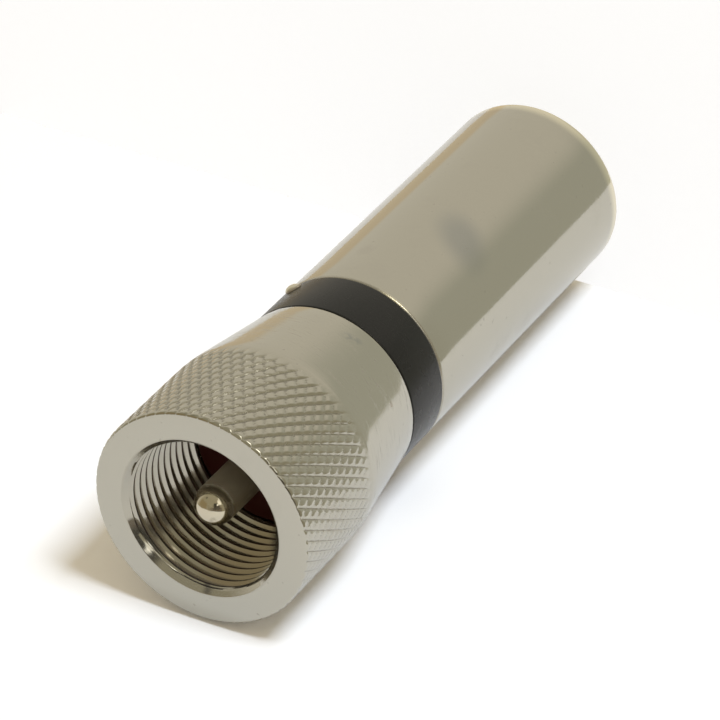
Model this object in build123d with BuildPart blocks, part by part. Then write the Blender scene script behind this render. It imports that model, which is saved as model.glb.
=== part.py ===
"""Coaxial plug with a knurled coupling nut, a black spacer ring and a long plated barrel.

The plug stands on the open end of its barrel with the nut up, and its axis is +Z.
The origin is the centre of the barrel's open end. All sizes are in millimetres.
"""
import os
from math import cos, pi, sin

from build123d import *

os.makedirs("parts", exist_ok=True)

# Barrel
barrel_length = 36.9
barrel_diameter = 18.45
barrel_wall = 1.6
barrel_front_wall = 3.0
barrel_front_edge = 0.2
barrel_rear_edge = 0.4
barrel_mouth_chamfer = 0.5

# Spacer ring between the barrel and the nut
ring_width = 5.7
ring_ledge = 4.7
ring_edge = 0.15

# Coupling nut
nut_length = 22.9
nut_wall = 2.4
nut_front_land = 0.25
nut_tail_edge = 0.2
thread_minor_diameter = 14.9
thread_run_out = 0.4
mouth_bevel = 0.55
relief_depth = 0.65
nut_shoulder_height = 4.3
nut_travel = 1.5

# Diamond knurl of the nut
knurl_length = 12.1
knurl_height = 0.33
knurl_starts = 60
knurl_rows = 13
knurl_step = 0.02
taper_rise = 0.24

# Slip washer that the nut's shoulder turns on
washer_thickness = 0.6
washer_margin = 0.2

# Plug body
head_height = 4.5
head_gap = 0.25
neck_diameter = 12.2
stem_diameter = 11.0
body_tail_length = 9.4
body_wall = 1.2
step_height = 6.5
dielectric_diameter = 7.5

# Insulators
insulator_rim = 0.45
insulator_flange = 2.5
spigot_length = 4.5
bead_flange_height = 1.0

# Centre pin
pin_diameter = 3.9
pin_stem_diameter = 4.3
pin_tail_diameter = 3.5
pin_reach = 11.7
pin_collar_diameter = 6.4
pin_collar_height = 1.0
solder_cup_length = 4.5
solder_cup_bore = 2.4
solder_cup_depth = 8.0
solder_window = 1.2

# Cable clamp
gland_bore_diameter = 10.8
gasket_bore_diameter = 10.4
clamp_flange = 2.0
gasket_length = 5.0
gland_washer_thickness = 1.0
gland_washer_step = 0.2
gland_recess = 1.2
spanner_slot_width = 2.2
spanner_slot_depth = 1.6

# Clearances
turning_clearance = 0.08
seat_clearance = 0.05
thread_clearance = 0.1

# Heights along the axis, from the barrel's open end
barrel_top = barrel_length
ring_top = barrel_top + ring_width
nut_top = ring_top + nut_length
knurl_top = nut_top - nut_front_land
knurl_bottom = knurl_top - knurl_length
shoulder_top = ring_top + nut_shoulder_height
washer_top = shoulder_top + washer_thickness
head_bottom = washer_top + nut_travel
head_top = head_bottom + head_height
thread_bottom = head_top + thread_run_out
flange_bottom = head_top - insulator_flange
spigot_bottom = flange_bottom - spigot_length
collar_bottom = spigot_bottom - pin_collar_height
bead_flange_bottom = collar_bottom - bead_flange_height
neck_bottom = barrel_top + ring_ledge
body_bottom = barrel_top - body_tail_length
bead_bottom = body_bottom + step_height
pin_top = head_top + pin_reach
cup_bottom = bead_bottom - solder_cup_length
clamp_bottom = body_bottom - clamp_flange
gasket_bottom = clamp_bottom - gasket_length
gland_top = gasket_bottom - gland_washer_thickness

# Radii that follow from the fits
barrel_radius = barrel_diameter / 2
barrel_bore = barrel_radius - barrel_wall
thread_radius = thread_minor_diameter / 2
mouth_radius = thread_radius + mouth_bevel
relief_radius = thread_radius + relief_depth
knurl_root_radius = relief_radius + nut_wall
knurl_peak_radius = knurl_root_radius + knurl_height
rim_radius = knurl_root_radius - knurl_step
taper_radius = knurl_root_radius + taper_rise
neck_radius = neck_diameter / 2
stem_radius = stem_diameter / 2
head_radius = relief_radius - head_gap
recess_radius = head_radius - insulator_rim
upper_bore = neck_radius - body_wall
lower_bore = stem_radius - body_wall
dielectric_radius = dielectric_diameter / 2
pin_radius = pin_diameter / 2
stem_hole = pin_stem_diameter / 2 + seat_clearance
tail_hole = pin_tail_diameter / 2 + seat_clearance
nose_bottom = pin_top - pin_radius
clamp_radius = barrel_bore - thread_clearance
gland_bore = gland_bore_diameter / 2
washer_bore = gland_bore + gland_washer_step

# Coupling nut: knurled drum, plain taper, threaded bore, relief and rear shoulder


def knurl_point(row, column):
    """Corner of the knurl's lattice. Peaks and valleys take turns along a row and from row to row."""
    if row == 0:
        radius = taper_radius + knurl_step
    elif row == knurl_rows or (row + column) % 2 == 0:
        radius = knurl_root_radius
    else:
        radius = knurl_peak_radius
    angle = pi * column / knurl_starts
    height = knurl_bottom + knurl_length * row / knurl_rows
    return (radius * cos(angle), radius * sin(angle), height)


def knurled_drum():
    """Closed drum with pyramids all round. Each cell is split along its valley line."""
    columns = 2 * knurl_starts
    faces = []
    for row in range(knurl_rows):
        for column in range(columns):
            low_left = knurl_point(row, column)
            low_right = knurl_point(row, column + 1)
            high_right = knurl_point(row + 1, column + 1)
            high_left = knurl_point(row + 1, column)
            if (row + column) % 2 == 0:
                halves = [(low_left, low_right, high_right), (low_left, high_right, high_left)]
            else:
                halves = [(low_left, low_right, high_left), (low_right, high_right, high_left)]
            faces += [Face(Wire.make_polygon(half)) for half in halves]
    for row in (0, knurl_rows):
        faces.append(Face(Wire.make_polygon([knurl_point(row, column) for column in range(columns)])))
    return Solid(Shell(faces))


with BuildPart() as coupling_nut:
    add(knurled_drum())
    with BuildSketch(Plane.XZ):
        with BuildLine():
            Polyline(
                (0, ring_top),
                (barrel_radius - nut_tail_edge, ring_top),
                (barrel_radius, ring_top + nut_tail_edge),
                (taper_radius, knurl_bottom),
                (0, knurl_bottom),
                close=True,
            )
        make_face()
    revolve(axis=Axis.Z)
    with BuildSketch(Plane.XY.offset(knurl_top)):
        Circle(rim_radius)
    extrude(amount=nut_front_land)
    with BuildSketch(Plane.XZ):
        with BuildLine():
            Polyline(
                (0, ring_top),
                (neck_radius + turning_clearance, ring_top),
                (neck_radius + turning_clearance, shoulder_top),
                (relief_radius, shoulder_top),
                (relief_radius, thread_bottom),
                (thread_radius, thread_bottom),
                (thread_radius, nut_top - mouth_bevel),
                (mouth_radius, nut_top),
                (0, nut_top),
                close=True,
            )
        make_face()
    revolve(axis=Axis.Z, mode=Mode.SUBTRACT)
coupling_nut.part.label = "coupling_nut"

# Slip washer, lying on the nut's shoulder round the neck
with BuildPart() as slip_washer:
    with BuildSketch(Plane.XY.offset(shoulder_top)):
        Circle(relief_radius - washer_margin)
        Circle(neck_radius + turning_clearance, mode=Mode.SUBTRACT)
    extrude(amount=washer_thickness)
slip_washer.part.label = "slip_washer"

# Plug body: head that holds the nut, neck, threaded stem, stepped bore
with BuildPart() as plug_body:
    with BuildSketch(Plane.XZ):
        with BuildLine():
            Polyline(
                (recess_radius, head_top),
                (head_radius, head_top),
                (head_radius, head_bottom),
                (neck_radius, head_bottom),
                (neck_radius, neck_bottom),
                (stem_radius, neck_bottom),
                (stem_radius, body_bottom),
                (dielectric_radius, body_bottom),
                (dielectric_radius, bead_bottom),
                (lower_bore, bead_bottom),
                (lower_bore, bead_flange_bottom),
                (upper_bore, bead_flange_bottom),
                (upper_bore, flange_bottom),
                (recess_radius, flange_bottom),
                close=True,
            )
        make_face()
    revolve(axis=Axis.Z)
plug_body.part.label = "plug_body"

# Front insulator: a wide disc in the head's recess with a spigot behind it
with BuildPart() as front_insulator:
    with BuildSketch(Plane.XY.offset(flange_bottom)):
        Circle(recess_radius - seat_clearance)
    extrude(amount=insulator_flange)
    with BuildSketch(Plane.XY.offset(spigot_bottom)):
        Circle(upper_bore - seat_clearance)
    extrude(amount=spigot_length)
    with BuildSketch(Plane.XY.offset(spigot_bottom)):
        Circle(stem_hole)
    extrude(amount=spigot_length + insulator_flange, mode=Mode.SUBTRACT)
front_insulator.part.label = "front_insulator"

# Centre pin: half-round nose, shank, collar between the insulators, solder cup with its window
with BuildPart() as center_pin:
    with BuildSketch(Plane.XZ):
        with BuildLine():
            Polyline(
                (0, pin_top),
                (0, cup_bottom),
                (pin_tail_diameter / 2, cup_bottom),
                (pin_tail_diameter / 2, collar_bottom),
                (pin_collar_diameter / 2, collar_bottom),
                (pin_collar_diameter / 2, spigot_bottom),
                (pin_stem_diameter / 2, spigot_bottom),
                (pin_stem_diameter / 2, head_top),
                (pin_radius, head_top),
                (pin_radius, nose_bottom),
            )
            CenterArc((0, nose_bottom), pin_radius, 0, 90)
        make_face()
    revolve(axis=Axis.Z)
    with BuildSketch(Plane.XY.offset(cup_bottom)):
        Circle(solder_cup_bore / 2)
    extrude(amount=solder_cup_depth, mode=Mode.SUBTRACT)
    with BuildSketch(Plane.YZ):
        with Locations((0, cup_bottom + solder_cup_length / 2)):
            Circle(solder_window / 2)
    extrude(amount=pin_diameter, mode=Mode.SUBTRACT)
center_pin.part.label = "center_pin"

# Rear insulator bead, on the step in the body's bore
with BuildPart() as rear_insulator:
    with BuildSketch(Plane.XY.offset(bead_bottom)):
        Circle(lower_bore - seat_clearance)
        Circle(tail_hole, mode=Mode.SUBTRACT)
    extrude(amount=bead_flange_bottom - bead_bottom)
    with BuildSketch(Plane.XY.offset(bead_flange_bottom)):
        Circle(upper_bore - seat_clearance)
        Circle(tail_hole, mode=Mode.SUBTRACT)
    extrude(amount=bead_flange_height)
rear_insulator.part.label = "rear_insulator"

# Spacer ring, clamped between the neck's shoulder and the barrel's front wall
with BuildPart() as spacer_ring:
    with BuildSketch(Plane.XY.offset(barrel_top)):
        Circle(barrel_radius)
        Circle(stem_radius + seat_clearance, mode=Mode.SUBTRACT)
    extrude(amount=ring_width)
    with BuildSketch(Plane.XY.offset(neck_bottom)):
        Circle(neck_radius + seat_clearance)
    extrude(amount=ring_top - neck_bottom, mode=Mode.SUBTRACT)
    rims = spacer_ring.edges().filter_by(GeomType.CIRCLE).group_by(SortBy.RADIUS)[-1]
    chamfer(rims, ring_edge)
spacer_ring.part.label = "spacer_ring"

# Barrel: a tube with a threaded front wall and bevelled edges
with BuildPart() as barrel:
    with BuildSketch():
        Circle(barrel_radius)
    extrude(amount=barrel_length)
    with BuildSketch():
        Circle(barrel_bore)
    extrude(amount=barrel_length - barrel_front_wall, mode=Mode.SUBTRACT)
    with BuildSketch(Plane.XY.offset(barrel_length)):
        Circle(stem_radius + seat_clearance)
    extrude(amount=-barrel_front_wall, mode=Mode.SUBTRACT)
    outer_edges = barrel.edges().filter_by(GeomType.CIRCLE).group_by(SortBy.RADIUS)[-1]
    chamfer(outer_edges.sort_by(Axis.Z)[-1], barrel_front_edge)
    chamfer(outer_edges.sort_by(Axis.Z)[0], barrel_rear_edge)
    mouth_edge = barrel.faces().sort_by(Axis.Z)[0].edges().sort_by(SortBy.LENGTH)[0]
    chamfer(mouth_edge, barrel_mouth_chamfer)
barrel.part.label = "barrel"

# Braid clamp: a flanged washer under the body's end, round the cable's dielectric
with BuildPart() as braid_clamp:
    with BuildSketch(Plane.XY.offset(clamp_bottom)):
        Circle(clamp_radius)
        Circle(dielectric_radius, mode=Mode.SUBTRACT)
    extrude(amount=clamp_flange)
braid_clamp.part.label = "braid_clamp"

# Cable gasket, pressed round the cable's jacket
with BuildPart() as cable_gasket:
    with BuildSketch(Plane.XY.offset(gasket_bottom)):
        Circle(clamp_radius)
        Circle(gasket_bore_diameter / 2, mode=Mode.SUBTRACT)
    extrude(amount=gasket_length)
cable_gasket.part.label = "cable_gasket"

# Washer that the gland nut presses on
with BuildPart() as gland_washer:
    with BuildSketch(Plane.XY.offset(gland_top)):
        Circle(clamp_radius)
        Circle(washer_bore, mode=Mode.SUBTRACT)
    extrude(amount=gland_washer_thickness)
gland_washer.part.label = "gland_washer"

# Gland nut: a long threaded tube round the cable, slotted for a spanner at its open end
with BuildPart() as gland_nut:
    with BuildSketch(Plane.XY.offset(gland_recess)):
        Circle(clamp_radius)
        Circle(gland_bore, mode=Mode.SUBTRACT)
    extrude(amount=gland_top - gland_recess)
    with BuildSketch(Plane.XY.offset(gland_recess)):
        Rectangle(barrel_diameter, spanner_slot_width)
    extrude(amount=spanner_slot_depth, mode=Mode.SUBTRACT)
gland_nut.part.label = "gland_nut"

pieces = [
    coupling_nut, slip_washer, plug_body, front_insulator, center_pin, rear_insulator,
    spacer_ring, barrel, braid_clamp, cable_gasket, gland_washer, gland_nut,
]
for piece in pieces:
    export_step(piece.part, f"parts/{piece.part.label}.step")
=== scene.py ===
"""Dresses a coaxial cable plug: knurled chrome nut, black spacer ring, long chrome barrel.

Lengths in the functions are millimetres along the plug's own frame, and become metres in the mesh.
The plug stands on the open end of its barrel. The camera lies over on its side, so that the plug
is seen lying down, with a backdrop touching the nut and the barrel's rim.
"""

from math import cos, pi, radians, sin

import bmesh
import bpy
import numpy as np
from bpy.props import FloatProperty, FloatVectorProperty, IntProperty, PointerProperty
from mathutils import Matrix, Vector


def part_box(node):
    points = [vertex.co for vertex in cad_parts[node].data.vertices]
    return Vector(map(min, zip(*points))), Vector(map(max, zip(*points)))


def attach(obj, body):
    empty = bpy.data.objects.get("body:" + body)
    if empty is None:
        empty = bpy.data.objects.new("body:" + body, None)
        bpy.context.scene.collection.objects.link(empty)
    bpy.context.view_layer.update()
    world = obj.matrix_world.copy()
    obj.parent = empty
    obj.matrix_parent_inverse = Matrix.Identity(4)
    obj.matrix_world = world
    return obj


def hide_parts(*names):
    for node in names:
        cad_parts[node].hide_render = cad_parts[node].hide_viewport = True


bl_info = {
    "name": "Coaxial plug",
    "version": (1, 0, 0),
    "blender": (4, 5, 0),
    "location": "View3D > Sidebar > Plug",
    "description": "Builds the visible pieces, finishes and stage of a coaxial cable plug",
    "category": "Object",
}

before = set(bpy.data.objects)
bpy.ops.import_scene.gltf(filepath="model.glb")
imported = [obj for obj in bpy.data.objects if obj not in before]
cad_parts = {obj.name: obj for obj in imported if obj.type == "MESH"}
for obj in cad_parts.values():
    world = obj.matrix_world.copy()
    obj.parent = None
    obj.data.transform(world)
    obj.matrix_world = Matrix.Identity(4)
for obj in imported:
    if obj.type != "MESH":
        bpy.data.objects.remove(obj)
MM = 0.001


def span(node):
    """Bottom, top and outer radius of a node of the frame, in millimetres."""
    low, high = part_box(node)
    return low.z / MM, high.z / MM, (high.x - low.x) / 2 / MM


NUT_BOTTOM, NUT_TOP, NUT_RADIUS = span("coupling_nut")
RING_BOTTOM, RING_TOP, RING_RADIUS = span("spacer_ring")
BARREL_BOTTOM, BARREL_TOP, BARREL_RADIUS = span("barrel")
PIN_BOTTOM, PIN_TOP, PIN_COLLAR_RADIUS = span("center_pin")
DISC_BOTTOM, DISC_TOP, DISC_RADIUS = span("front_insulator")
WASHER_BOTTOM = span("slip_washer")[0]

# How finely surfaces are divided: columns round a piece, columns in a diamond of the knurl, rows in
# half a diamond, in the nut's rounded rim and in the pin's dome, rows and columns of the burr, and
# the longest stretch of an outline on the nut's taper and on the barrel.
BARREL_COLUMNS, RING_COLUMNS, PIN_COLUMNS, DISC_COLUMNS = 384, 256, 96, 128
DIAMOND_COLUMNS, HALF_DIAMOND_ROWS, RIM_ROWS, DOME_ROWS = 8, 5, 8, 32
BURR_ROWS, BURR_COLUMNS = 17, 28
TAPER_STRETCH, BARREL_STRETCH = 1.4, 3.0

# One turn of the thread: how far along the pitch its rows stand, and how deep each is. Then the
# heights of its foot and its stop, and the lengths over which its turns fade there.
THREAD_ALONG = (0.0, 0.19, 0.28, 0.38, 0.49, 0.57, 0.72, 0.86)
THREAD_DEEP = (0.0, 0.0, 0.30, 0.65, 1.0, 1.0, 0.66, 0.32)
THREAD_FOOT, THREAD_STOP = DISC_TOP + 0.06, NUT_TOP - 0.4
FOOT_FADE, STOP_FADE = 0.4, 0.5

# Small lengths: the step between the nut's face and its bevel, how far the taper's outline ends
# below the knurl, how far the knurl stays inside the CAD box, how far the floor and the backdrop lie
# off the plug, how near two points are one point, and how short an edge is dropped.
LIP, SEAM, BOX_MARGIN, TOUCH = 0.055, 0.03, 0.01, 0.02
WELD, SHORTEST = 0.0002 * MM, 0.00001 * MM

# The burr over the barrel's front edge: its side in degrees from -Y towards +X, the height of its
# middle, and its half sizes outward, round the axis and upward.
BURR_SIDE, BURR_HEIGHT = 77.5, BARREL_TOP + 0.85
BURR_HALVES = (0.42, 0.85, 0.75)

# Marks of wear on the nut's taper and on the barrel, and a painted highlight on the barrel's front
# edge: side in degrees from -Y towards +X, height, half length round the axis, half width, and a
# lean in degrees where there is one.
TAPER_BLOOM = (11.5, 44.9, 1.6, 0.8, 20.0)
TAPER_MARKS = (
    (-30.0, 46.5, 0.6, 0.4), (-6.5, 45.0, 0.35, 0.21), (-5.5, 47.6, 0.3, 0.18),
    (-8.5, 50.4, 0.45, 0.27), (-16.0, 47.0, 0.3, 0.18),
)
BARREL_SMUDGE = (8.0, 24.0, 5.0, 3.4, -40.0)
BARREL_MARK = (48.0, 31.4, 1.1, 1.4)
# Painted highlight on the barrel's front edge.
BARREL_GLINT = (10.0, BARREL_TOP - 0.1, 2.2, 0.8)

# The room in the plug's reflections: its pale back, its olive side with the way it lies to the right
# and ahead, its brown front, its ceiling, and the plain colour that matt surfaces see instead.
ROOM_PALE, ROOM_OLIVE = (0.70, 0.66, 0.565), (0.51, 0.50, 0.415)
ROOM_BROWN, ROOM_CEILING = (0.37, 0.34, 0.245), (0.40, 0.37, 0.28)
OLIVE_RIGHT, OLIVE_AHEAD = 0.878, 0.477
MATT_LIGHT = (0.53, 0.45, 0.31)

WHITE = (1.0, 1.0, 1.0)


def length(name, text, default):
    """A length in millimetres that a user may change."""
    return FloatProperty(name=name, description=text, default=default, min=0.0, precision=3)


def colour(name, text, default):
    """A colour that a user may change."""
    return FloatVectorProperty(
        name=name, description=text, default=default, subtype="COLOR", min=0.0, max=1.0, size=3
    )


class NutSizes(bpy.types.PropertyGroup):
    """Sizes of the coupling nut, in millimetres."""

    starts: IntProperty(name="Knurl starts", description="Grooves each way", default=60, min=12)
    rows: IntProperty(name="Knurl rows", description="Half diamonds along the band", default=13, min=2)
    band: length("Knurl length", "Length of the knurled band", 12.1)
    land: length("Front land", "Plain rim in front of the knurl", 0.25)
    depth: length("Knurl depth", "Depth of the grooves", 0.165)
    groove: FloatProperty(
        name="Groove width", description="Width of a groove as a share of a diamond", default=0.12,
        min=0.02, max=0.5,
    )
    weaker: FloatProperty(
        name="Shallow share", description="Depth of the shallower grooves as a share of the others",
        default=0.62, min=0.0, max=1.0,
    )
    fade: length("Knurl fade", "Length over which the knurl runs out at its rear", 1.5)
    rim: length("Rim", "Length of the rounded rim in front", 0.34)
    face_radius: length("Face radius", "Radius of the flat front face", 10.47)
    taper_radius: length("Taper radius", "Radius where the plain taper starts", 10.74)
    mouth_radius: length("Mouth radius", "Radius of the mouth's bevel at the face", 8.0)
    crest_radius: length("Thread crest", "Radius of the thread's crests", 7.45)
    root_radius: length("Thread root", "Radius of the thread's roots", 7.94)
    pitch: length("Thread pitch", "Distance between two turns", 1.058)
    relief_radius: length("Relief radius", "Radius of the hollow behind the thread", 8.1)
    bore_radius: length("Rear bore", "Radius of the hole round the neck", 6.18)
    rear_edge: length("Rear edge", "Rounding of the rear edge", 0.28)
    mouth_edge: length("Mouth edge", "Rounding between the face and the bevel", 0.03)


class BarrelSizes(bpy.types.PropertyGroup):
    """Sizes of the barrel and the spacer ring, in millimetres."""

    front_edge: length("Front edge", "Rounding of the barrel's front edge", 0.32)
    rear_edge: length("Rear edge", "Rounding of the barrel's rear edge", 0.55)
    bore: length("Bore", "Radius of the barrel's bore", 7.625)
    bore_bevel: length("Bore bevel", "Bevel of the bore's rear edge", 0.5)
    front_wall: length("Front wall", "Thickness of the threaded front wall", 3.0)
    front_hole: length("Front hole", "Radius of the hole in the front wall", 5.55)
    ring_edge: length("Ring edge", "Rounding of the spacer ring's edges", 0.18)
    ring_bore: length("Ring bore", "Radius of the ring's wide bore", 6.15)
    ring_ledge: length("Ring ledge", "Height of the ring's inner ledge", 4.7)


class PinSizes(bpy.types.PropertyGroup):
    """Sizes of the centre pin and the front insulator, in millimetres."""

    shank: length("Shank radius", "Radius of the free pin and its round nose", 1.95)
    short: length("Short by", "How far the nose stays below the pin's nominal top", 0.5)
    stem: length("Stem", "Radius of the pin in the front insulator", 2.15)
    tail: length("Tail", "Radius of the pin in the rear insulator", 1.75)
    collar_bottom: length("Collar bottom", "Height of the collar's lower face", 45.5)
    collar_top: length("Collar top", "Height of the collar's upper face", 46.5)
    cup: length("Solder cup", "Radius of the solder cup", 1.2)
    cup_depth: length("Cup depth", "Depth of the solder cup", 8.0)
    flange: length("Flange", "Thickness of the insulator's flange", 2.5)
    spigot: length("Spigot", "Radius of the insulator below its flange", 4.85)
    play: length("Play", "Gap between the pin and the insulator", 0.05)


class Finishes(bpy.types.PropertyGroup):
    """Colours of the finishes."""

    chrome: colour("Chrome", "Reflection of the plated brass", (0.545, 0.525, 0.455))
    nickel: colour("Nickel", "Reflection of the pin", (0.66, 0.60, 0.47))
    # Tarnish also paints the shade at the burr's foot, and darkens the knurl's grooves and the thread.
    tarnish_and_shade: colour("Tarnish", "Brown film in corners and smudges", (0.22, 0.17, 0.11))
    bloom: colour("Bloom", "Grey smudges on the plate", (0.37, 0.38, 0.37))
    # Bright also tints the painted highlights on the barrel's rear rim and front edge, and the burr.
    bright: colour("Bright edge", "Edges rubbed bright", (0.93, 0.87, 0.69))
    phenolic: colour("Phenolic", "Dark red insulator", (0.075, 0.017, 0.014))
    phenolic_shade: colour("Phenolic shade", "Its second shade", (0.075, 0.014, 0.012))
    plastic: colour("Plastic", "Black spacer ring", (0.006, 0.0058, 0.005))
    plastic_shade: colour("Plastic shade", "Its second shade", (0.011, 0.0105, 0.009))
    brass: colour("Brass", "Turned washers and clamp", (0.58, 0.43, 0.24))
    brass_shade: colour("Brass shade", "Its second shade", (0.46, 0.31, 0.15))
    rubber: colour("Rubber", "Cable gasket", (0.020, 0.020, 0.021))
    rubber_shade: colour("Rubber shade", "Its second shade", (0.03, 0.03, 0.031))


class StageSettings(bpy.types.PropertyGroup):
    """Camera and surroundings."""

    lens: FloatProperty(name="Lens", description="Focal length in mm", default=237.24)
    camera_radius: length("Camera radius", "Distance from the plug's axis", 296.13)
    camera_height: length("Camera height", "Height over the plug's foot", 362.18)
    camera_dip: FloatProperty(name="Dip", description="Downward angle in degrees", default=47.776)
    camera_roll: FloatProperty(name="Roll", description="Roll in degrees", default=134.79)
    table_turn: FloatProperty(
        name="Table turn", description="Turn of the backdrop about the axis, in degrees", default=36.05
    )
    white: colour("White", "Colour of the floor and the backdrop", (0.80, 0.80, 0.80))
    floor_matt: FloatProperty(
        name="Floor matt", description="Share of its colour that the floor takes the light with",
        default=0.3)
    floor_glow: FloatProperty(
        name="Floor glow", description="Strength of the floor's own white", default=0.84)
    sheet_glow: FloatProperty(
        name="Backdrop glow", description="Strength of the backdrop's own white", default=0.06)
    floor_side: length("Floor", "Side of the square floor", 3000)
    sheet_width: length("Backdrop width", "Across the plug", 112)
    sheet_length: length("Backdrop length", "Along the plug", 330)
    sheet_aside: length("Backdrop aside", "How far the backdrop's middle lies beside the axis", 6)
    sheet_height: length("Backdrop height", "Height of the backdrop's middle", 45)
    lamp_way: FloatVectorProperty(
        name="Lamp direction", description="From the plug's middle", size=3,
        default=(0.225, -0.968, 0.09))
    lamp_distance: length("Lamp distance", "From the plug's middle", 600)
    lamp_size: length("Lamp size", "Side of the square lamp", 165)
    lamp_power: FloatProperty(name="Lamp power", description="In watts", default=2.9)
    lamp_tint: colour("Lamp colour", "Colour of the lamp", (0.79, 0.87, 1.0))


# Shader expressions


class Value:
    """A number in a node tree. An expression on it adds Math nodes."""

    def __init__(self, tree, socket):
        self.tree, self.socket = tree, socket

    def math(self, operation, *others, first=None):
        node = self.tree.nodes.new("ShaderNodeMath")
        node.operation = operation
        terms = [self if first is None else first, *others]
        for slot, term in zip(node.inputs, terms):
            if isinstance(term, Value):
                self.tree.links.new(term.socket, slot)
            else:
                slot.default_value = term
        return Value(self.tree, node.outputs[0])

    def __add__(self, other):
        return self.math("ADD", other)

    def __sub__(self, other):
        return self.math("SUBTRACT", other)

    def __mul__(self, other):
        return self.math("MULTIPLY", other)

    def __pow__(self, other):
        return self.math("POWER", other)

    def __rsub__(self, other):
        return self.math("SUBTRACT", self, first=other)

    __radd__ = __add__
    __rmul__ = __mul__

    def step(self, low, high):
        """0 under low, 1 over high, smooth between."""
        node = self.tree.nodes.new("ShaderNodeMapRange")
        node.interpolation_type = "SMOOTHSTEP"
        self.tree.links.new(self.socket, node.inputs["Value"])
        node.inputs["From Min"].default_value = low
        node.inputs["From Max"].default_value = high
        return Value(self.tree, node.outputs["Result"])

    def between(self, low, high, soft):
        """1 from low to high, falling to 0 over soft at each end."""
        return self.step(low - soft, low) * (1.0 - self.step(high, high + soft))


class Shader:
    """A material or world being built."""

    def __init__(self, owner):
        owner.use_nodes = True
        self.tree = owner.node_tree
        self.tree.nodes.clear()

    def node(self, kind, settings=None, **values):
        """A node of a kind, its settings made first, then its sockets given values or links."""
        node = self.tree.nodes.new(kind)
        for key, value in (settings or {}).items():
            setattr(node, key, value)
        for key, value in values.items():
            self.feed(node.inputs[key.replace("_", " ")], value)
        return node

    def feed(self, slot, value):
        if isinstance(value, Value):
            self.tree.links.new(value.socket, slot)
        elif isinstance(value, bpy.types.NodeSocket):
            self.tree.links.new(value, slot)
        elif isinstance(value, tuple) and len(value) == 3 and slot.type == "RGBA":
            slot.default_value = (*value, 1.0)
        else:
            slot.default_value = value

    def value(self, socket):
        return Value(self.tree, socket)

    def mix(self, share, first, second):
        """A colour between two colours."""
        node = self.tree.nodes.new("ShaderNodeMix")
        node.data_type = "RGBA"
        self.feed(node.inputs[0], share)
        self.feed(node.inputs[6], first)
        self.feed(node.inputs[7], second)
        return node.outputs[2]

    def position(self):
        """Place on the piece in millimetres, with its height, radius and turn about the axis."""
        place = self.node("ShaderNodeTexCoord").outputs["Object"]
        scaled = self.node("ShaderNodeVectorMath", {"operation": "SCALE"}, Vector=place, Scale=1 / MM)
        parts = self.node("ShaderNodeSeparateXYZ", Vector=scaled.outputs[0])
        x, y, z = (self.value(socket) for socket in parts.outputs)
        return scaled.outputs[0], z, (x * x + y * y) ** 0.5, y.math("ARCTAN2", x)

    def noise(self, vector, scale, detail, rough):
        """Noise from 0 to 1 about 0.5."""
        node = self.node(
            "ShaderNodeTexNoise", Vector=vector, Scale=scale, Detail=detail, Roughness=rough
        )
        return self.value(node.outputs["Fac"])

    def vector(self, x, y, z):
        return self.node("ShaderNodeCombineXYZ", X=x, Y=y, Z=z).outputs[0]

    def join(self, kind, first, second, **values):
        """Two shaders added, or mixed by a factor from the first to the second."""
        node = self.node(kind, **values)
        self.feed(node.inputs[-2], first.outputs[0])
        self.feed(node.inputs[-1], second.outputs[0])
        return node

    def surface(self, shader):
        self.node("ShaderNodeOutputMaterial", Surface=shader.outputs[0])


def bumped(shader, height, distance):
    """Normal from a height of 0 to 1 that stands for a distance in millimetres."""
    return shader.node("ShaderNodeBump", Height=height, Distance=distance * MM).outputs[0]


def plated(name, tint, finishes, rough, lines, smear, wear_and_painted_light=None):
    """Bright plate on turned metal: fine lines round the axis, soft smudges, a few specks.

    Lines round the axis are noise read at height and radius alone. Smudges are wide noise. The
    function of wear and painted light gives the piece's darkening towards brown, grey bloom and
    bright tint, each from 0 to 1, and its extra roughness and height. On the barrel, part of the
    darkening is painted shade, and most of the bright tint is painted highlight.
    """
    material = bpy.data.materials.new(name)
    shader, tint = Shader(material), tuple(tint)
    place, z, radius, turn = shader.position()
    lathe = shader.noise(shader.vector(z * 9.0, radius * 9.0, 0.0), 1.0, 4.0, 0.7)
    haze = shader.noise(place, 0.16, 4.0, 0.55)
    speck = shader.noise(place, 1.7, 2.0, 0.5).step(0.70, 0.80)
    scratch = shader.noise(shader.vector(z * 0.35, turn * 26.0, radius), 1.0, 3.0, 0.6)
    scratch = scratch.step(0.66, 0.74)
    darkening = haze.step(0.52, 0.85) * smear + speck * 0.22
    roughness = haze * 0.10 + scratch * 0.08 + (rough - 0.05)
    height = lathe * lines + scratch * 0.25
    if wear_and_painted_light:
        more, bloom, bright, dull, dent = wear_and_painted_light(shader, place, z, radius, turn)
        darkening, roughness, height = darkening + more, roughness + dull, height + dent
        tint = shader.mix(bloom, tint, tuple(finishes.bloom))
        tint = shader.mix(bright, tint, tuple(finishes.bright))
    darkening = darkening.math("MINIMUM", 1.0)
    base = shader.mix(darkening, tint, tuple(finishes.tarnish_and_shade))
    body = shader.node(
        "ShaderNodeBsdfPrincipled", Base_Color=base, Metallic=1.0 - darkening * 0.7,
        Roughness=roughness.math("MINIMUM", 1.0), Normal=bumped(shader, height, 0.004),
    )
    shader.surface(body)
    return material


def spot(z, turn, radius, side, height, long, wide, lean=0.0):
    """1 in the middle of an oval patch and 0 outside.

    Side is in degrees from -Y towards +X. The oval's long way runs round the axis, and lean turns it
    towards the front, in degrees.
    """
    over, up, lean = (turn - radians(side - 90)) * radius, z - height, radians(lean)
    first = (over * cos(lean) + up * sin(lean)) * (1 / long)
    second = (up * cos(lean) - over * sin(lean)) * (1 / wide)
    return 1.0 - ((first * first + second * second) ** 0.5).step(0.2, 1.0)


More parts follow.
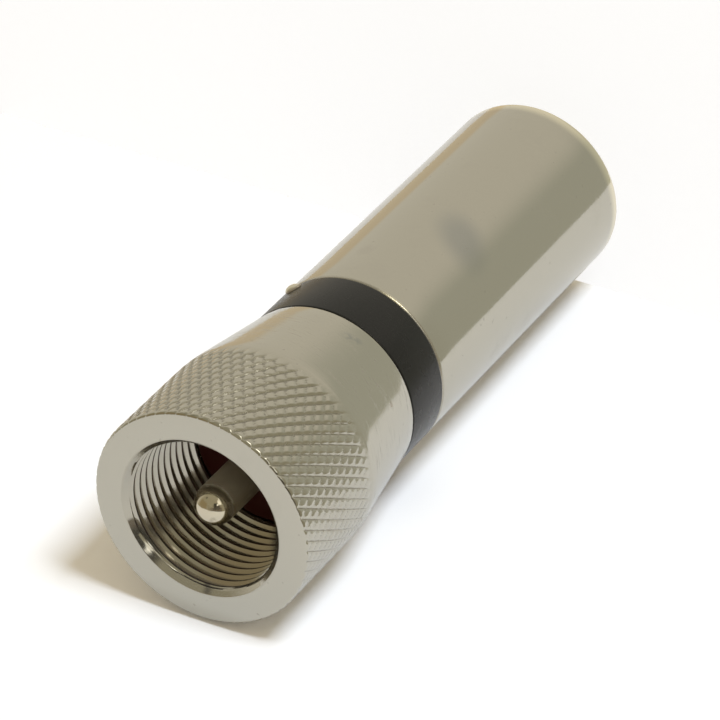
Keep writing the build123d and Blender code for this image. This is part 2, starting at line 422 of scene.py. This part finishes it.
def nut_wear_and_darkening(shader, place, z, radius, turn):
    """Darker towards the bottom of the knurl's grooves and over the thread, fine scratches and spots
    on the taper.
    """
    band = z.between(NUT_TOP - 12.0, NUT_TOP - 0.5, 0.4)
    outer = band * radius.step(9.0, 9.5)
    # Darker towards the bottom of the knurl's grooves.
    groove_dark = outer * (1.0 - radius.step(NUT_RADIUS - 0.20, NUT_RADIUS - 0.11))
    wall = outer * (1.0 - radius.step(NUT_RADIUS - 0.07, NUT_RADIUS - 0.03))
    # Darker over the thread, and most in its roots.
    thread = 1.0 - radius.step(8.0, 8.2)
    deep = thread * radius.step(7.70, 7.90) * (1.0 - z.step(NUT_TOP - 1.5, NUT_TOP - 0.8))
    slanted = shader.vector(z * 2.2 + turn * 2.5, turn * 1.5, radius * 0.2)
    fine = shader.noise(slanted, 2.4, 4.0, 0.75).step(0.55, 0.68)
    taper = 1.0 - z.step(NUT_TOP - 12.6, NUT_TOP - 12.3)
    worn = shader.noise(place, 0.30, 2.0, 0.5).step(0.38, 0.58) * taper
    bloom = spot(z, turn, radius, *TAPER_BLOOM)
    marks = sum(spot(z, turn, radius, *mark) for mark in TAPER_MARKS)
    rubbed = shader.noise(place, 2.2, 3.0, 0.6).step(0.35, 0.60)
    darkening = groove_dark * 0.35 + deep * 0.6 + thread * 0.12 + fine * worn * 0.32 + marks * rubbed * 0.5
    return darkening, bloom * rubbed * 0.6, 0.0, fine * worn * 0.12 + wall * 0.16, fine * worn * 0.8


def barrel_wear_and_painted_light(shader, place, z, radius, turn):
    """A grey smudge, a brown mark, a painted highlight along the rear rim, and a painted glint on the
    front edge, which is otherwise a little darker and browner.

    Over the front edge there is only the burr, which is pale, with painted shade at its foot.
    """
    # Painted highlight: the barrel is tinted bright at its rear rim, fading out within two
    # millimetres.
    rim = 1.0 - z.step(0.5, 1.7)
    front = z.step(BARREL_TOP - 0.45, BARREL_TOP - 0.1)
    smudge = spot(z, turn, radius, *BARREL_SMUDGE)
    mark = spot(z, turn, radius, *BARREL_MARK) * 0.16
    # Painted highlight: a bright oval tint on the front edge's rounding.
    glint = spot(z, turn, radius, *BARREL_GLINT)
    burr = z.step(BARREL_TOP + 0.02, BARREL_TOP + 0.12)
    # Painted shade: the burr's foot, next to the barrel and the ring, is darkened towards brown.
    foot = burr * (1.0 - radius.step(BARREL_RADIUS + 0.08, BARREL_RADIUS + 0.24))
    # Painted highlights on the rear rim and the front edge, and the burr's pale tint.
    bright = rim * 0.85 + glint * front * (1.0 - burr) + burr * 0.5
    darkening = front * (0.2 - glint * 0.2) * (1.0 - burr) + foot * 0.8 + mark
    return darkening, smudge * 0.62, bright, smudge * 0.12 + front * 0.18, 0.0


def pin_wear(shader, place, z, radius, turn):
    """Brown arcs on the bright nose, and a dull shank under it."""
    shank = 1.0 - z.step(PIN_TOP - 2.9, PIN_TOP - 2.2)
    arcs = shader.noise(place, 0.8, 3.0, 0.5).step(0.46, 0.64)
    return arcs * (1.0 - shank) * 0.4, 0.0, 0.0, shank * 0.42, 0.0


def plain(name, tint, second, rough, grain, size, metal=0.0, shine=0.5):
    """Moulded, pressed or turned stock: two close shades in fine noise, with a grained surface."""
    material = bpy.data.materials.new(name)
    shader = Shader(material)
    place = shader.position()[0]
    fine = shader.noise(place, size, 4.0, 0.6)
    wide = shader.noise(place, size * 0.12, 3.0, 0.5)
    base = shader.mix(fine.step(0.35, 0.75) * 0.6 + wide * 0.4, tuple(tint), tuple(second))
    body = shader.node(
        "ShaderNodeBsdfPrincipled", Base_Color=base, Metallic=metal, Specular_IOR_Level=shine,
        Roughness=wide * 0.16 + (rough - 0.08), Normal=bumped(shader, fine, grain),
    )
    shader.surface(body)
    return material


# Surfaces


def grid_faces(rows, columns, wrap_rows=False):
    """Quads of a grid that closes round its columns, and round its rows if asked."""
    row = np.arange(rows if wrap_rows else rows - 1)[:, None]
    column = np.arange(columns)[None, :]
    above, beside = (row + 1) % rows, (column + 1) % columns
    here, over = row * columns, above * columns
    return np.stack([here + column, here + beside, over + beside, over + column], -1).reshape(-1, 4)


def smooth(share):
    """0 at 0, 1 at 1, level at both ends: three times its square less twice its cube."""
    return share * share * (3 - 2 * share)


def points_at(radius, turn, height):
    """Points of a grid from their radius, turn about the axis and height."""
    across, ahead = radius * np.cos(turn), radius * np.sin(turn)
    return np.stack(np.broadcast_arrays(across, ahead, height), -1)


def eased(corners, radii, steps=6):
    """Outline through corners, each rounded by a parabola that starts its radius away."""
    corners = np.asarray(corners, float)
    radii = np.broadcast_to(np.asarray(radii, float), len(corners))
    share = np.linspace(0.0, 1.0, steps)[:, None]
    line = []
    for index, (corner, radius) in enumerate(zip(corners, radii)):
        if radius <= 0.0 or index in (0, len(corners) - 1):
            line.append(corner[None])
            continue
        before, after = corners[index - 1] - corner, corners[index + 1] - corner
        start = corner + before / np.linalg.norm(before) * radius
        end = corner + after / np.linalg.norm(after) * radius
        line.append((1 - share) ** 2 * start + 2 * share * (1 - share) * corner + share**2 * end)
    return np.concatenate(line)


def divided(outline, longest):
    """The outline with points added so that no stretch is longer than asked."""
    runs = np.linalg.norm(np.diff(outline, axis=0), axis=1)
    parts = np.maximum(1, np.ceil(runs / longest)).astype(int)
    index = np.repeat(np.arange(len(runs)), parts)
    first = np.cumsum(parts) - parts
    share = ((np.arange(parts.sum()) - first[index]) / parts[index])[:, None]
    return np.concatenate([outline[index] * (1 - share) + outline[index + 1] * share, outline[-1:]])


def turned(outline, columns):
    """Points of an outline of radius and height carried round the axis."""
    return points_at(outline[:, :1], 2 * pi * np.arange(columns) / columns, outline[:, 1:])


def make_mesh(name, points, faces, sharp=40.0):
    """Mesh from points in millimetres: doubles merged, empty faces dropped, faces turned outward."""
    mesh = bpy.data.meshes.new(name)
    mesh.from_pydata((points.reshape(-1, 3) * MM).tolist(), [], faces.tolist())
    work = bmesh.new()
    work.from_mesh(mesh)
    bmesh.ops.remove_doubles(work, verts=work.verts, dist=WELD)
    bmesh.ops.dissolve_degenerate(work, edges=work.edges, dist=SHORTEST)
    bmesh.ops.recalc_face_normals(work, faces=work.faces)
    work.to_mesh(mesh)
    work.free()
    mesh.polygons.foreach_set("use_smooth", np.ones(len(mesh.polygons), bool))
    mesh.set_sharp_from_angle(angle=radians(sharp))
    mesh.update()
    return mesh


def place(name, mesh, body, finish, slot, *nodes):
    """Puts a finished mesh on its body, in place of the frame's nodes."""
    piece = bpy.data.objects.new(name, mesh)
    bpy.context.scene.collection.objects.link(piece)
    mesh.materials.append(finish)
    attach(piece, body)
    if nodes:
        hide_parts(*nodes)


def ring_mesh(name, outline, columns):
    """A closed outline carried round the axis."""
    return make_mesh(name, turned(outline, columns), grid_faces(len(outline), columns, True))


# Coupling nut


def knurl_height(turn, height, low, high, sizes):
    """Height of the diamonds from 0 where grooves cross to 1 on top.

    Two families of straight grooves cross. The distance to the nearest groove of a family is how far
    starts times turn, plus or minus height over the diamond's length, is from a whole number and a
    half. Each groove is a bell curve of that distance, and the two families are multiplied.
    """
    diamond = 2 * (high - low) / sizes.rows
    around, along = sizes.starts * turn / (2 * pi), (height - low) / diamond
    lift = 1.0
    for sign, depth in ((-1, 1.0), (1, sizes.weaker)):
        distance = (around + sign * along) % 1.0 - 0.5
        lift = lift * (1.0 - depth * np.exp(-((distance / sizes.groove) ** 2)))
    return lift


def nut_outside(sizes, columns):
    """Points of the outside, from the rear bore's edge over taper and knurl to the mouth's bevel.

    The knurl's columns lean with its deeper grooves: each turns by half a diamond for every half
    diamond it climbs. At the top they stand a whole number of columns on, where the face takes over.
    """
    high = NUT_TOP - sizes.land
    low = high - sizes.band
    tail = eased(
        [(sizes.bore_radius, NUT_BOTTOM), (BARREL_RADIUS, NUT_BOTTOM),
         (sizes.taper_radius, low - SEAM)],
        [0, sizes.rear_edge, 0])
    face = eased(
        [(sizes.face_radius, NUT_TOP), (sizes.mouth_radius, NUT_TOP),
         (sizes.mouth_radius - LIP, NUT_TOP - LIP)],
        [0, sizes.mouth_edge, 0])
    rim_low = NUT_TOP - sizes.rim
    straight = np.linspace(low, rim_low, sizes.rows * HALF_DIAMOND_ROWS)
    rounded = rim_low + sizes.rim * np.linspace(0.0, 1.0, RIM_ROWS)[1:-1]
    heights = np.concatenate([straight, rounded])[:, None]
    climbed = (np.minimum(heights, high) - low) / (high - low)
    shift = sizes.rows * columns // (2 * sizes.starts)
    turn = 2 * pi * (np.arange(columns)[None, :] + shift * climbed) / columns
    lift = knurl_height(turn, heights, low, high, sizes)
    grown = smooth(np.clip((heights - low) / sizes.fade, 0.0, 1.0))
    depth = sizes.depth * grown
    peak = sizes.taper_radius + (NUT_RADIUS - BOX_MARGIN - sizes.taper_radius) * grown
    over = np.clip((heights - rim_low) / sizes.rim, 0.0, 1.0)
    top = sizes.face_radius + (peak - sizes.face_radius) * np.sqrt(1.0 - over**2)
    band = points_at(np.minimum(top, peak - depth + depth * lift), turn, heights)
    rear, front = turned(divided(tail, TAPER_STRETCH), columns), turned(face, columns)
    return np.concatenate([rear, band, np.roll(front, -shift, 1)])


def nut_inside(sizes, columns):
    """Points of the threaded bore on a grid that leans with the helix.

    Each turn has a few rows: crest, flank, root and flank. A column stands higher than the one before
    by its share of the pitch, so the last column meets the first one pitch up. Heights are held
    between the thread's ends, where the grooves fade, and the bevel cuts the crests away at the mouth.
    """
    low, high, steps = THREAD_FOOT, NUT_TOP - LIP, len(THREAD_ALONG)
    turns = int((high - low) / sizes.pitch) + 3
    row = np.arange(turns * steps + 1)[:, None]
    column = np.arange(columns)[None, :]
    share, wave = np.array(THREAD_ALONG)[row % steps], np.array(THREAD_DEEP)[row % steps]
    height = low + sizes.pitch * (row // steps + share + column / columns - 1.0)
    ends = np.minimum((THREAD_STOP - height) / STOP_FADE, (height - THREAD_FOOT) / FOOT_FADE)
    wave = wave * smooth(np.clip(ends, 0.0, 1.0))
    radius = sizes.crest_radius + (sizes.root_radius - sizes.crest_radius) * wave
    bevel = sizes.mouth_radius - (NUT_TOP - np.minimum(height, high))
    radius = np.where(height < low, sizes.relief_radius, np.maximum(radius, bevel))
    points = points_at(radius, 2 * pi * column / columns, np.clip(height, low, high))
    rows = len(row)
    faces = grid_faces(rows, columns)
    quad_row, quad_column = faces[:, 0] // columns, faces[:, 0] % columns
    last = quad_column == columns - 1
    faces[last, 1] = (quad_row[last] + steps) * columns
    faces[last, 2] = (quad_row[last] + steps + 1) * columns
    kept = ~last | (quad_row + steps + 1 < rows)
    return points, faces[kept]


def nut_rear(sizes, columns):
    """Points from the thread's lower end over the relief and the shoulder to the rear bore."""
    outline = np.array([
        (sizes.relief_radius, THREAD_FOOT), (sizes.relief_radius, WASHER_BOTTOM),
        (sizes.bore_radius, WASHER_BOTTOM), (sizes.bore_radius, NUT_BOTTOM),
    ])
    return turned(outline, columns)


def joined(parts):
    """Points and faces of several grids as one list."""
    points, faces, count = [], [], 0
    for part, quads in parts:
        points.append(part.reshape(-1, 3))
        faces.append(quads + count)
        count += len(points[-1])
    return np.concatenate(points), np.concatenate(faces)


class PLUG_OT_nut(bpy.types.Operator):
    """Builds the knurled coupling nut with its thread"""

    bl_idname = "plug.nut"
    bl_label = "Coupling nut"

    def execute(self, context):
        sizes, finishes = context.scene.plug_nut, context.scene.plug_finishes
        columns = sizes.starts * DIAMOND_COLUMNS
        outside = nut_outside(sizes, columns)
        rear = nut_rear(sizes, columns)
        points, faces = joined([
            (outside, grid_faces(len(outside), columns)),
            nut_inside(sizes, columns),
            (rear, grid_faces(len(rear), columns)),
        ])
        chrome = plated(
            "nut_chrome", finishes.chrome, finishes, rough=0.10, lines=0.6, smear=0.10, wear_and_painted_light=nut_wear_and_darkening)
        mesh = make_mesh("nut", points, faces, 32.0)
        place("nut", mesh, "nut", chrome, "nut_chrome", "coupling_nut")
        return {"FINISHED"}


# Barrel and ring


def burr_mesh(name):
    """A small lump of plate, an egg with two shallow waves on it, half sunk in the ring's surface.

    Its middle is on the barrel's radius. Each point has two angles, one from end to end and one round
    the middle. The sines and cosines that place them on a ball are multiplied by the half sizes
    outward, round the axis and upward, and by a swell of 1 plus the waves, which fade at the ends.
    """
    polar = np.linspace(0.0, pi, BURR_ROWS)[:, None]
    around = 2 * pi * np.arange(BURR_COLUMNS)[None, :] / BURR_COLUMNS
    waves = 0.10 * np.sin(polar) * np.sin(3 * around + 1.0) + 0.12 * np.sin(2 * polar + around)
    swell = 1.0 + waves * np.sin(polar)
    ball = points_at(np.sin(polar), around, np.cos(polar))
    side = radians(BURR_SIDE - 90)
    axes = np.array([(cos(side), sin(side), 0.0), (-sin(side), cos(side), 0.0), (0.0, 0.0, 1.0)])
    points = swell[..., None] * ball * BURR_HALVES @ axes
    middle = axes[0] * BARREL_RADIUS + axes[2] * BURR_HEIGHT
    return make_mesh(name, points + middle, grid_faces(BURR_ROWS, BURR_COLUMNS), 60.0)


class PLUG_OT_barrel(bpy.types.Operator):
    """Builds the long plain barrel and the burr over its front edge"""

    bl_idname = "plug.barrel"
    bl_label = "Barrel"

    def execute(self, context):
        sizes, finishes = context.scene.plug_barrel, context.scene.plug_finishes
        wall, bevel = BARREL_TOP - sizes.front_wall, sizes.bore_bevel
        inner, outer = 8.0, 12.0  # heights of a point on each of the two straight walls
        outline = eased(
            [(sizes.bore, inner), (sizes.bore, wall), (sizes.front_hole, wall),
             (sizes.front_hole, BARREL_TOP), (BARREL_RADIUS, BARREL_TOP), (BARREL_RADIUS, outer),
             (BARREL_RADIUS, BARREL_BOTTOM), (sizes.bore + bevel, BARREL_BOTTOM), (sizes.bore, bevel)],
            [0, 0, 0, 0, sizes.front_edge, 0, sizes.rear_edge, 0.1, 0], 8)
        chrome = plated(
            "barrel_chrome", finishes.chrome, finishes, rough=0.09, lines=0.25, smear=0.12,
            wear_and_painted_light=barrel_wear_and_painted_light)
        mesh = ring_mesh("barrel_tube", divided(outline, BARREL_STRETCH), BARREL_COLUMNS)
        place("barrel_tube", mesh, "plug", chrome, "barrel_chrome", "barrel")
        place("burr", burr_mesh("burr"), "plug", chrome, "barrel_chrome")
        return {"FINISHED"}


class PLUG_OT_ring(bpy.types.Operator):
    """Builds the black spacer ring"""

    bl_idname = "plug.ring"
    bl_label = "Spacer ring"

    def execute(self, context):
        sizes, finishes = context.scene.plug_barrel, context.scene.plug_finishes
        ledge = BARREL_TOP + sizes.ring_ledge
        outline = eased(
            [(sizes.front_hole, RING_BOTTOM), (sizes.front_hole, ledge), (sizes.ring_bore, ledge),
             (sizes.ring_bore, RING_TOP), (RING_RADIUS, RING_TOP), (RING_RADIUS, RING_BOTTOM),
             (sizes.front_hole, RING_BOTTOM)],
            [0, 0, 0, 0, sizes.ring_edge, sizes.ring_edge, 0])[:-1]
        plastic = plain(
            "black_plastic", finishes.plastic, finishes.plastic_shade, rough=0.28, grain=0.003,
            size=4.0, shine=0.36)
        mesh = ring_mesh("ring", outline, RING_COLUMNS)
        place("ring", mesh, "plug", plastic, "black_plastic", "spacer_ring")
        return {"FINISHED"}


# Pin and insulator


class PLUG_OT_pin(bpy.types.Operator):
    """Builds the centre pin with its domed nose and solder cup"""

    bl_idname = "plug.pin"
    bl_label = "Centre pin"

    def execute(self, context):
        sizes, finishes = context.scene.plug_pin, context.scene.plug_finishes
        climb = np.linspace(0.0, pi / 2, DOME_ROWS)[1:]
        nose = PIN_TOP - sizes.short - sizes.shank
        dome = np.stack([np.cos(climb), np.sin(climb)], -1) * sizes.shank + (0.0, nose)
        dome[-1, 0] = 0.0
        cup_top = PIN_BOTTOM + sizes.cup_depth
        shank = eased(
            [(0.0, cup_top), (sizes.cup, cup_top), (sizes.cup, PIN_BOTTOM), (sizes.tail, PIN_BOTTOM),
             (sizes.tail, sizes.collar_bottom), (PIN_COLLAR_RADIUS, sizes.collar_bottom),
             (PIN_COLLAR_RADIUS, sizes.collar_top), (sizes.stem, sizes.collar_top),
             (sizes.stem, DISC_TOP), (sizes.shank, DISC_TOP), (sizes.shank, nose)],
            [0, 0.1, 0.1, 0.1, 0, 0.1, 0.1, 0, 0, 0, 0])
        outline = np.concatenate([shank, dome])
        points, faces = turned(outline, PIN_COLUMNS), grid_faces(len(outline), PIN_COLUMNS)
        mesh = make_mesh("pin", points, faces, 50.0)
        nickel = plated(
            "pin_nickel", finishes.nickel, finishes, rough=0.10, lines=0.12, smear=0.25, wear_and_painted_light=pin_wear)
        place("pin", mesh, "plug", nickel, "pin_nickel", "center_pin")
        return {"FINISHED"}


class PLUG_OT_disc(bpy.types.Operator):
    """Builds the dark red front insulator"""

    bl_idname = "plug.disc"
    bl_label = "Front insulator"

    def execute(self, context):
        sizes, finishes = context.scene.plug_pin, context.scene.plug_finishes
        flange, bore = DISC_TOP - sizes.flange, sizes.stem + sizes.play
        outline = eased(
            [(bore, DISC_BOTTOM), (bore, DISC_TOP), (DISC_RADIUS, DISC_TOP), (DISC_RADIUS, flange),
             (sizes.spigot, flange), (sizes.spigot, DISC_BOTTOM), (bore, DISC_BOTTOM)],
            [0, 0.08, 0.12, 0.05, 0.05, 0.1, 0])[:-1]
        red = plain(
            "red_phenolic", finishes.phenolic, finishes.phenolic_shade, rough=0.35, grain=0.004,
            size=2.5)
        mesh = ring_mesh("disc", outline, DISC_COLUMNS)
        place("disc", mesh, "plug", red, "red_phenolic", "front_insulator")
        return {"FINISHED"}


class PLUG_OT_inside(bpy.types.Operator):
    """Gives the inner pieces of the frame their finishes"""

    bl_idname = "plug.inside"
    bl_label = "Inner pieces"

    def execute(self, context):
        finishes = context.scene.plug_finishes
        nickel = plated("body_nickel", finishes.nickel, finishes, rough=0.22, lines=0.8, smear=0.3)
        brass = plain(
            "bronze", finishes.brass, finishes.brass_shade, rough=0.3, grain=0.004, size=3.0,
            metal=1.0)
        rubber = plain(
            "gasket_rubber", finishes.rubber, finishes.rubber_shade, rough=0.7, grain=0.01, size=3.0)
        red = plain(
            "bead_phenolic", finishes.phenolic, finishes.phenolic_shade, rough=0.4, grain=0.004,
            size=2.5)
        for finish, nodes in (
            (nickel, ("plug_body", "gland_nut")),
            (brass, ("slip_washer", "braid_clamp", "gland_washer")),
            (rubber, ("cable_gasket",)),
            (red, ("rear_insulator",)),
        ):
            for node in nodes:
                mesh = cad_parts[node].data
                mesh.materials.clear()
                mesh.materials.append(finish)
        return {"FINISHED"}


# Stage


def ray_share(shader, *kinds):
    """1 for rays of these kinds, 0 for others."""
    path = shader.node("ShaderNodeLightPath")
    total = shader.value(path.outputs[kinds[0]])
    for kind in kinds[1:]:
        total = total.math("MAXIMUM", shader.value(path.outputs[kind]))
    return total


PATCHES = (
    # colour, elevation from and to, compass from and to, softness, all in degrees
    ((0.32, 0.26, 0.155), (2, 22), (-86, -52), 10),
    ((0.68, 0.57, 0.40), (-30, 2), (150, 181), 4),
    ((0.68, 0.57, 0.40), (-30, 2), (-181, -150), 4),
    ((0.19, 0.16, 0.12), (-8, 8), (-20, 32), 6),
    ((0.05, 0.045, 0.035), (6, 32), (-4, 21), 8),
    ((1.30, 1.26, 1.12), (27, 48), (19, 36), 4),
    ((0.12, 0.11, 0.09), (43, 49), (-77, -70), 4),
    ((4.0, 3.9, 3.5), (58, 75), (36, 66), 8),
    ((1.9, 1.85, 1.7), (25, 29), (12, 16), 3),
)


def surroundings(world, up, front):
    """White to the camera, a soft brown to matt surfaces, and a room to bright ones.

    Directions are told by their elevation over the backdrop and by a compass that is 0 towards the
    camera and 90 to its right. The room is pale behind, olive low on the right and brown in front.
    Patches stand for the dark and the bright things in it.
    """
    shader = Shader(world)
    direction = shader.node("ShaderNodeTexCoord").outputs["Generated"]
    parts = shader.node("ShaderNodeSeparateXYZ", Vector=direction)
    x, y, z = (shader.value(socket) for socket in parts.outputs)

    def along(axis):
        return x * axis.x + y * axis.y + z * axis.z

    height, ahead, right = along(up), along(front), along(up.cross(front))
    elevation = height.math("ARCSINE") * (180 / pi)
    compass = right.math("ARCTAN2", ahead) * (180 / pi)
    side = (right * OLIVE_RIGHT + ahead * OLIVE_AHEAD).step(-0.25, 0.10)
    room = shader.mix((1.0 - height.step(0.33, 0.60)) * side, ROOM_PALE, ROOM_OLIVE)
    room = shader.mix(ahead.step(-0.42, 0.05), room, ROOM_BROWN)
    room = shader.mix(height.step(0.72, 0.93) * 0.7, room, ROOM_CEILING)
    for tint, heights, turns, soft in PATCHES:
        inside = elevation.between(*heights, soft) * compass.between(*turns, soft)
        room = shader.mix(inside, room, tint)
    lit = ray_share(shader, "Is Glossy Ray", "Is Transmission Ray")
    seen = shader.mix(lit, MATT_LIGHT, room)
    seen = shader.mix(ray_share(shader, "Is Camera Ray"), seen, WHITE)
    light = shader.node("ShaderNodeBackground", Color=seen, Strength=1.0)
    shader.node("ShaderNodeOutputWorld", Surface=light.outputs[0])


def floor_finish(settings):
    """Near white to the camera with a light shadow, and clear to all other rays."""
    material = bpy.data.materials.new("floor_white")
    shader = Shader(material)
    tint = tuple(settings.floor_matt * part for part in settings.white)
    matt = shader.node("ShaderNodeBsdfDiffuse", Color=tint)
    glow = shader.node("ShaderNodeEmission", Color=WHITE, Strength=settings.floor_glow)
    lit = shader.join("ShaderNodeAddShader", matt, glow)
    clear = shader.node("ShaderNodeBsdfTransparent")
    seen = ray_share(shader, "Is Camera Ray")
    shader.surface(shader.join("ShaderNodeMixShader", clear, lit, Fac=seen))
    return material


def backdrop_finish(settings):
    """Matt white from the front with a little glow to the camera, and clear from behind."""
    material = bpy.data.materials.new("backdrop_white")
    shader = Shader(material)
    matt = shader.node("ShaderNodeBsdfDiffuse", Color=tuple(settings.white))
    pale = shader.node("ShaderNodeBsdfDiffuse", Color=WHITE)
    glow = shader.node("ShaderNodeEmission", Color=WHITE, Strength=settings.sheet_glow)
    lit = shader.join("ShaderNodeAddShader", pale, glow)
    seen = ray_share(shader, "Is Camera Ray")
    front = shader.join("ShaderNodeMixShader", matt, lit, Fac=seen)
    clear = shader.node("ShaderNodeBsdfTransparent")
    behind = shader.node("ShaderNodeNewGeometry").outputs["Backfacing"]
    shader.surface(shader.join("ShaderNodeMixShader", front, clear, Fac=behind))
    return material


def sheet_mesh(name, centre, across, up, width, height):
    """A flat sheet of one quad. Its front is across turned to up, by the right hand.

    Its corners are the centre plus across times the width and up times the height, each times minus
    or plus a half.
    """
    steps = np.array([-0.5, 0.5])
    points = (
        np.asarray(centre)[None, None]
        + np.asarray(across)[None, None] * (steps * width)[None, :, None]
        + np.asarray(up)[None, None] * (steps * height)[:, None, None]
    )
    mesh = bpy.data.meshes.new(name)
    mesh.from_pydata((points.reshape(-1, 3) * MM).tolist(), [], [(0, 1, 3, 2)])
    return mesh


class PLUG_OT_stage(bpy.types.Operator):
    """Makes the floor, the backdrop, the light and the camera"""

    bl_idname = "plug.stage"
    bl_label = "Stage"

    def execute(self, context):
        scene, settings, nut = context.scene, context.scene.plug_stage, context.scene.plug_nut
        mesh = sheet_mesh(
            "floor", (0, 0, -TOUCH), (1, 0, 0), (0, 1, 0), settings.floor_side, settings.floor_side)
        mesh.materials.append(floor_finish(settings))
        floor = bpy.data.objects.new("floor", mesh)
        # The backdrop leans until it touches the barrel's rear rim and the knurl's rear end.
        turn, touching = radians(settings.table_turn), NUT_TOP - nut.land - nut.band + nut.fade
        lean = (NUT_RADIUS - BARREL_RADIUS) / touching
        normal = Vector((sin(turn), -cos(turn), lean)).normalized()
        along = (Vector((0, 0, 1)) - normal * normal.z).normalized()
        across = along.cross(normal)
        foot = -normal * (BARREL_RADIUS + TOUCH)
        centre = foot + across * settings.sheet_aside + along * settings.sheet_height
        mesh = sheet_mesh(
            "backdrop", centre, across, along, settings.sheet_width, settings.sheet_length)
        mesh.materials.append(backdrop_finish(settings))
        sheet = bpy.data.objects.new("backdrop", mesh)
        for piece in (floor, sheet):
            scene.collection.objects.link(piece)
        world = bpy.data.worlds.new("soft_room")
        scene.world = world
        dip = radians(settings.camera_dip)
        view = Vector((0, -cos(dip), sin(dip)))
        surroundings(world, normal, (view - normal * view.dot(normal)).normalized())
        self.lamp(scene, settings)
        self.camera(scene, settings)
        scene.view_settings.view_transform = "Standard"
        return {"FINISHED"}

    def lamp(self, scene, settings):
        """A square lamp that faces the plug's middle, unseen and without a reflection."""
        data = bpy.data.lights.new("key_lamp", "AREA")
        data.energy, data.size = settings.lamp_power, settings.lamp_size * MM
        data.color = settings.lamp_tint
        lamp = bpy.data.objects.new("key_lamp", data)
        away = Vector(settings.lamp_way).normalized()
        lamp.location = (away * settings.lamp_distance + Vector((0, 0, NUT_TOP / 2))) * MM
        lamp.rotation_mode = "QUATERNION"
        lamp.rotation_quaternion = away.to_track_quat("Z", "Y")
        lamp.visible_camera = lamp.visible_glossy = False
        scene.collection.objects.link(lamp)

    def camera(self, scene, settings):
        """The camera looks along +Y and down, rolled over so that the plug lies on the backdrop."""
        data = bpy.data.cameras.new("camera")
        data.lens, data.sensor_width = settings.lens, 36.0
        data.clip_start, data.clip_end = 0.01, 20.0
        dip, roll = radians(settings.camera_dip), radians(settings.camera_roll)
        look = Vector((0, cos(dip), -sin(dip)))
        level, upright = Vector((1, 0, 0)), Vector((0, sin(dip), cos(dip)))
        up = upright * cos(roll) + level * sin(roll)
        right = look.cross(up)
        camera = bpy.data.objects.new("camera", data)
        turn = Matrix((right, up, -look)).transposed().to_4x4()
        stand = Vector((0, -settings.camera_radius, settings.camera_height)) * MM
        camera.matrix_world = Matrix.Translation(stand) @ turn
        scene.collection.objects.link(camera)
        scene.camera = camera


# Add-on


class PLUG_PT_panel(bpy.types.Panel):
    """Lists the plug's pieces"""

    bl_idname = "PLUG_PT_panel"
    bl_label = "Coaxial plug"
    bl_space_type = "VIEW_3D"
    bl_region_type = "UI"
    bl_category = "Plug"

    def draw(self, context):
        for operator in OPERATORS:
            self.layout.operator(operator.bl_idname)


OPERATORS = (
    PLUG_OT_nut, PLUG_OT_barrel, PLUG_OT_ring, PLUG_OT_pin, PLUG_OT_disc, PLUG_OT_inside,
    PLUG_OT_stage,
)
GROUPS = {
    "plug_nut": NutSizes, "plug_barrel": BarrelSizes, "plug_pin": PinSizes,
    "plug_finishes": Finishes, "plug_stage": StageSettings,
}


def register():
    for item in (*GROUPS.values(), *OPERATORS, PLUG_PT_panel):
        bpy.utils.register_class(item)
    for name, group in GROUPS.items():
        setattr(bpy.types.Scene, name, PointerProperty(type=group))


def unregister():
    for name in GROUPS:
        delattr(bpy.types.Scene, name)
    for item in (PLUG_PT_panel, *reversed(OPERATORS), *GROUPS.values()):
        bpy.utils.unregister_class(item)


def main():
    """Builds every piece and the stage."""
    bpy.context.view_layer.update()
    register()
    for operator in OPERATORS:
        group, name = operator.bl_idname.split(".")
        getattr(getattr(bpy.ops, group), name)()


if __name__ == "__main__":
    main()
